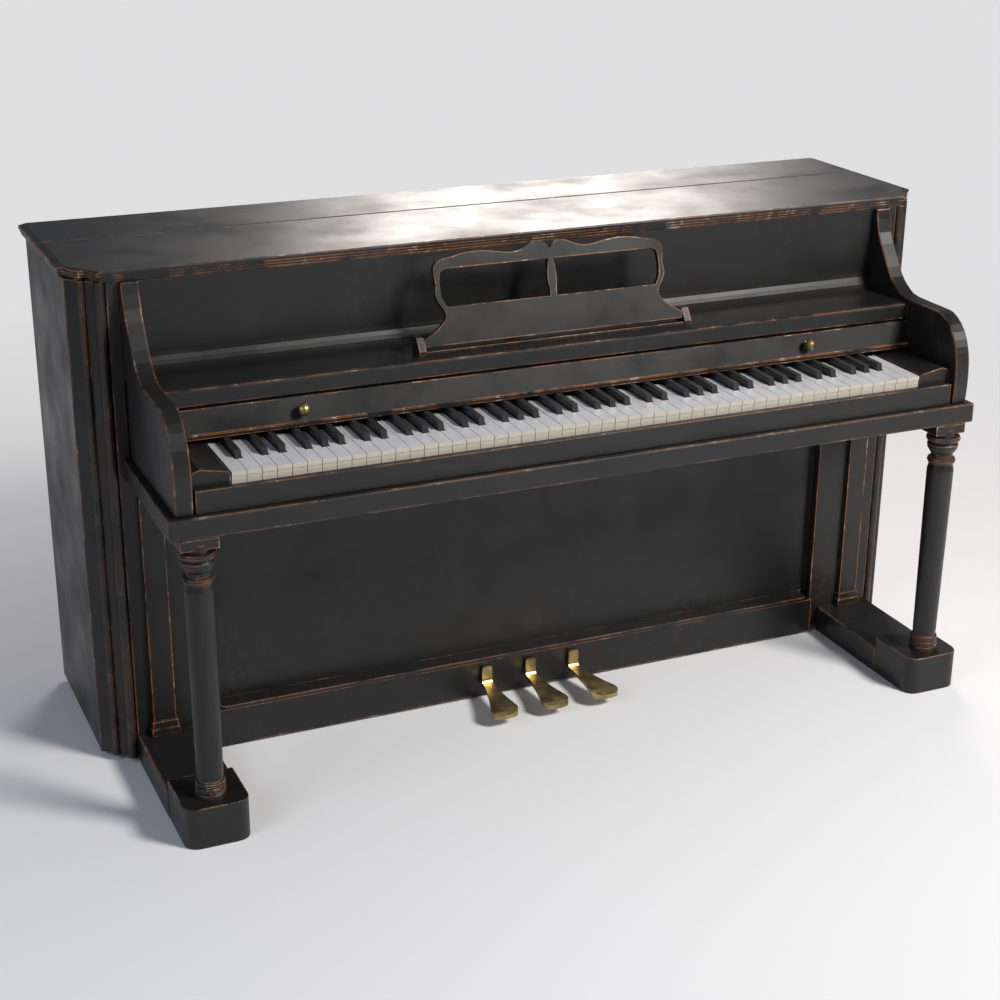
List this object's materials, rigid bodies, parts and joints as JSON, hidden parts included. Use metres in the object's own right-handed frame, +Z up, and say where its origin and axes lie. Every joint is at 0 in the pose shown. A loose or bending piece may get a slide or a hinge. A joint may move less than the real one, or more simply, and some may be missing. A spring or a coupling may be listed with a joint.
{
  "type": "spinet piano",
  "caption": "Low upright spinet piano with a hinged lid flap, fretted folding music desk, sliding fallboard, turned front legs on toe blocks and sprung brass pedals.",
  "frame": {"origin": "on the floor, under the centre of the whole piano's bounding box", "axes": "+X runs along the keyboard towards the treble, +Y points to the back, +Z is up; the player sits at -Y"},
  "size_m": [1.574, 0.679, 0.8499],
  "materials": {
    "black_paint": "worn satin black paint",
    "key_plastic": "glossy white",
    "black_keys": "satin black",
    "aged_brass": "dull aged",
    "hinge_steel": "painted over",
    "plain_wood": "unfinished",
    "spruce": "varnished",
    "bronzed_iron": "bronze paint"
  },
  "bodies": {
    "case": {"side_panel_l": "black_paint", "side_panel_r": "black_paint", "corner_pilaster_l": "black_paint", "corner_pilaster_r": "black_paint", "front_stile_l": "black_paint", "front_stile_r": "black_paint", "pilaster_strip_l": "black_paint", "pilaster_strip_r": "black_paint", "desk_pivot_l": "black_paint", "desk_pivot_r": "black_paint", "arm_l": "black_paint", "arm_r": "black_paint", "key_block_l": "black_paint", "key_block_r": "black_paint", "leg_l": "black_paint", "leg_r": "black_paint", "foot_block_l": "black_paint", "foot_block_r": "black_paint", "toe_runner_l": "black_paint", "toe_runner_r": "black_paint", "lower_panel": "black_paint", "ledge_moulding": "black_paint", "bottom_rail": "black_paint", "bottom_board": "plain_wood", "upper_panel": "black_paint", "music_shelf": "black_paint", "lid_rear": "black_paint", "lid_hinge": "hinge_steel", "key_strip": "black_paint", "keybed": "black_paint", "key_slip": "black_paint", "key_frame": "plain_wood", "trap_board": "plain_wood", "back_frame": "plain_wood", "soundboard": "spruce", "iron_plate": "bronzed_iron", "action_rail": "plain_wood"},
    "lid_flap": {"lid_flap": "black_paint"},
    "music_desk": {"music_desk": "black_paint"},
    "fallboard": {"fallboard": "black_paint", "fallboard_knob_l": "aged_brass", "fallboard_knob_r": "aged_brass"},
    "pedal_left": {"pedal_left": "aged_brass"},
    "pedal_middle": {"pedal_middle": "aged_brass"},
    "pedal_right": {"pedal_right": "aged_brass"},
    "trap_lever_left": {"trap_lever_left": "plain_wood"},
    "trap_lever_middle": {"trap_lever_middle": "plain_wood"},
    "trap_lever_right": {"trap_lever_right": "plain_wood"},
    "key_c": {"key_c": "key_plastic"},
    "key_c_sharp": {"key_c_sharp": "black_keys"},
    "key_d": {"key_d": "key_plastic"},
    "key_d_sharp": {"key_d_sharp": "black_keys"},
    "key_e": {"key_e": "key_plastic"},
    "key_f": {"key_f": "key_plastic"},
    "key_f_sharp": {"key_f_sharp": "black_keys"},
    "key_g": {"key_g": "key_plastic"},
    "key_g_sharp": {"key_g_sharp": "black_keys"},
    "key_a": {"key_a": "key_plastic"},
    "key_a_sharp": {"key_a_sharp": "black_keys"},
    "key_b": {"key_b": "key_plastic"}
  },
  "joints": [
    {"name": "lid_flap_hinge", "type": "hinge", "parent": "case", "child": "lid_flap", "pos_m": [0, 0.1895, 0.849], "axis": [-1, 0, 0], "range_deg": [0, 174]},
    {"name": "desk_fold", "type": "hinge", "parent": "case", "child": "music_desk", "pos_m": [0, -0.11591, 0.70078], "axis": [1, 0, 0], "range_deg": [-16, 104]},
    {"name": "fallboard_slide", "type": "slide", "parent": "case", "child": "fallboard", "axis": [0, -1, 0], "range_m": [0, 0.118]},
    {"name": "pedal_left_press", "type": "hinge", "parent": "case", "child": "pedal_left", "pos_m": [-0.092, 0.0045, 0.047], "axis": [1, 0, 0], "range_deg": [0, 4.2], "stiffness_Nm_per_rad": 20, "springref_deg": -4.58},
    {"name": "pedal_middle_press", "type": "hinge", "parent": "case", "child": "pedal_middle", "pos_m": [-0.006, 0.0045, 0.047], "axis": [1, 0, 0], "range_deg": [0, 4.2], "stiffness_Nm_per_rad": 20, "springref_deg": -4.58},
    {"name": "pedal_right_press", "type": "hinge", "parent": "case", "child": "pedal_right", "pos_m": [0.08, 0.0045, 0.047], "axis": [1, 0, 0], "range_deg": [0, 4.2], "stiffness_Nm_per_rad": 20, "springref_deg": -4.58},
    {"name": "trap_left_lift", "type": "hinge", "parent": "case", "child": "trap_lever_left", "pos_m": [-0.302, 0.0745, 0.071], "axis": [0, -1, 0], "range_deg": [0, 1.6]},
    {"name": "trap_middle_lift", "type": "hinge", "parent": "case", "child": "trap_lever_middle", "pos_m": [0.204, 0.1085, 0.071], "axis": [0, 1, 0], "range_deg": [0, 2.4]},
    {"name": "trap_right_lift", "type": "hinge", "parent": "case", "child": "trap_lever_right", "pos_m": [0.29, 0.0745, 0.071], "axis": [0, 1, 0], "range_deg": [0, 1.6]},
    {"name": "key_c_press", "type": "hinge", "parent": "case", "child": "key_c", "pos_m": [0, -0.0805, 0.572], "axis": [1, 0, 0], "range_deg": [0, 2.6], "stiffness_Nm_per_rad": 1, "springref_deg": -4.58},
    {"name": "key_c_sharp_press", "type": "hinge", "parent": "case", "child": "key_c_sharp", "pos_m": [0, -0.0805, 0.572], "axis": [1, 0, 0], "range_deg": [0, 2.6], "stiffness_Nm_per_rad": 1, "springref_deg": -4.58},
    {"name": "key_d_press", "type": "hinge", "parent": "case", "child": "key_d", "pos_m": [0, -0.0805, 0.572], "axis": [1, 0, 0], "range_deg": [0, 2.6], "stiffness_Nm_per_rad": 1, "springref_deg": -4.58},
    {"name": "key_d_sharp_press", "type": "hinge", "parent": "case", "child": "key_d_sharp", "pos_m": [0, -0.0805, 0.572], "axis": [1, 0, 0], "range_deg": [0, 2.6], "stiffness_Nm_per_rad": 1, "springref_deg": -4.58},
    {"name": "key_e_press", "type": "hinge", "parent": "case", "child": "key_e", "pos_m": [0, -0.0805, 0.572], "axis": [1, 0, 0], "range_deg": [0, 2.6], "stiffness_Nm_per_rad": 1, "springref_deg": -4.58},
    {"name": "key_f_press", "type": "hinge", "parent": "case", "child": "key_f", "pos_m": [0, -0.0805, 0.572], "axis": [1, 0, 0], "range_deg": [0, 2.6], "stiffness_Nm_per_rad": 1, "springref_deg": -4.58},
    {"name": "key_f_sharp_press", "type": "hinge", "parent": "case", "child": "key_f_sharp", "pos_m": [0, -0.0805, 0.572], "axis": [1, 0, 0], "range_deg": [0, 2.6], "stiffness_Nm_per_rad": 1, "springref_deg": -4.58},
    {"name": "key_g_press", "type": "hinge", "parent": "case", "child": "key_g", "pos_m": [0, -0.0805, 0.572], "axis": [1, 0, 0], "range_deg": [0, 2.6], "stiffness_Nm_per_rad": 1, "springref_deg": -4.58},
    {"name": "key_g_sharp_press", "type": "hinge", "parent": "case", "child": "key_g_sharp", "pos_m": [0, -0.0805, 0.572], "axis": [1, 0, 0], "range_deg": [0, 2.6], "stiffness_Nm_per_rad": 1, "springref_deg": -4.58},
    {"name": "key_a_press", "type": "hinge", "parent": "case", "child": "key_a", "pos_m": [0, -0.0805, 0.572], "axis": [1, 0, 0], "range_deg": [0, 2.6], "stiffness_Nm_per_rad": 1, "springref_deg": -4.58},
    {"name": "key_a_sharp_press", "type": "hinge", "parent": "case", "child": "key_a_sharp", "pos_m": [0, -0.0805, 0.572], "axis": [1, 0, 0], "range_deg": [0, 2.6], "stiffness_Nm_per_rad": 1, "springref_deg": -4.58},
    {"name": "key_b_press", "type": "hinge", "parent": "case", "child": "key_b", "pos_m": [0, -0.0805, 0.572], "axis": [1, 0, 0], "range_deg": [0, 2.6], "stiffness_Nm_per_rad": 1, "springref_deg": -4.58}
  ],
  "couplings": [
    {"joint": "trap_left_lift", "follows": "pedal_left_press", "ratio": 0.36},
    {"joint": "trap_middle_lift", "follows": "pedal_middle_press", "ratio": 0.525},
    {"joint": "trap_right_lift", "follows": "pedal_right_press", "ratio": 0.36}
  ]
}
